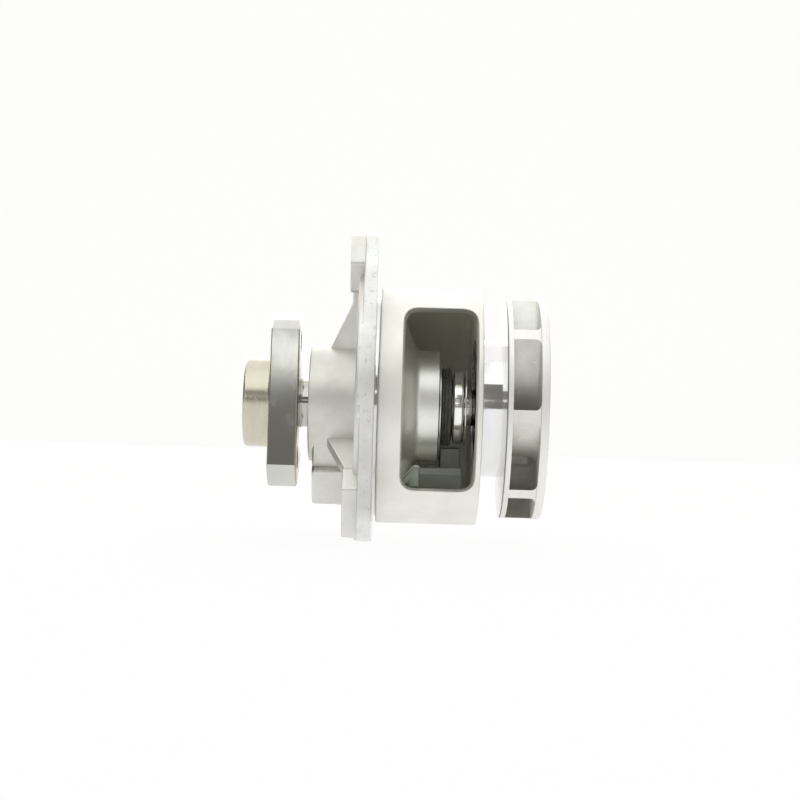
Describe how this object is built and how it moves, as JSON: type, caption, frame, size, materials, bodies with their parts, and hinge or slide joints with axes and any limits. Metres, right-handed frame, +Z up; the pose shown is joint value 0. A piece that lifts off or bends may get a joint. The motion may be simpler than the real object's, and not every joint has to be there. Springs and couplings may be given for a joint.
{
  "type": "engine water pump",
  "caption": "Engine water pump with a cast flange housing, open inlet cage, sealed shaft bearing, triangular drive hub, face seal and shrouded impeller.",
  "frame": {"origin": "where the shaft's axis meets the flange's mounting face", "axes": "+X along the shaft towards the impeller, +Z up, -Y towards the side with the inlet window"},
  "size_m": [0.0986, 0.1006, 0.1022],
  "materials": {
    "cast_aluminium": "satin as-cast, fine grain",
    "hub_steel": "satin turned, faint warm tint",
    "ground_steel": "ground",
    "bearing_steel": "ground",
    "ball_steel": "polished",
    "cage_plastic": "matte",
    "seal_rubber": "matte",
    "bellows_rubber": "semi-matte, ribbed",
    "plated_steel": "plated",
    "spring_steel": "drawn",
    "carbon": "lapped, dark",
    "ceramic": "lapped",
    "polished_steel": "polished",
    "impeller_aluminium": "turned rim, rough cast inside",
    "polished_aluminium": "polished neck, turned rim"
  },
  "bodies": {
    "housing": {"pump_housing": "cast_aluminium", "drain_plug": "plated_steel", "bearing_outer_ring": "bearing_steel", "bearing_seal_front": "seal_rubber", "bearing_seal_rear": "seal_rubber", "seal_cup": "plated_steel", "seal_bellows": "bellows_rubber", "seal_spring": "spring_steel", "seal_carbon_ring": "carbon"},
    "rotor": {"pump_shaft": "ground_steel", "drive_hub": "hub_steel", "seal_mating_ring": "ceramic", "seal_boot": "seal_rubber", "seal_mating_cup": "polished_steel", "seal_slinger": "polished_steel", "impeller_body": "impeller_aluminium", "impeller_shroud": "polished_aluminium"},
    "ball_train_front": {"ball_cage_front": "cage_plastic", "ball_front_1": "ball_steel", "ball_front_2": "ball_steel", "ball_front_3": "ball_steel", "ball_front_4": "ball_steel", "ball_front_5": "ball_steel", "ball_front_6": "ball_steel", "ball_front_7": "ball_steel"},
    "ball_train_rear": {"ball_cage_rear": "cage_plastic", "ball_rear_1": "ball_steel", "ball_rear_2": "ball_steel", "ball_rear_3": "ball_steel", "ball_rear_4": "ball_steel", "ball_rear_5": "ball_steel", "ball_rear_6": "ball_steel", "ball_rear_7": "ball_steel"}
  },
  "joints": [
    {"name": "rotor_spin", "type": "hinge", "parent": "housing", "child": "rotor", "pos_m": [0, 0, 0], "axis": [1, 0, 0], "continuous": true},
    {"name": "ball_train_front_spin", "type": "hinge", "parent": "housing", "child": "ball_train_front", "pos_m": [-0.016, 0, 0], "axis": [1, 0, 0], "continuous": true},
    {"name": "ball_train_rear_spin", "type": "hinge", "parent": "housing", "child": "ball_train_rear", "pos_m": [-0.0023, 0, 0], "axis": [1, 0, 0], "continuous": true}
  ],
  "couplings": [
    {"joint": "ball_train_front_spin", "follows": "rotor_spin", "ratio": 0.375},
    {"joint": "ball_train_rear_spin", "follows": "rotor_spin", "ratio": 0.375}
  ]
}
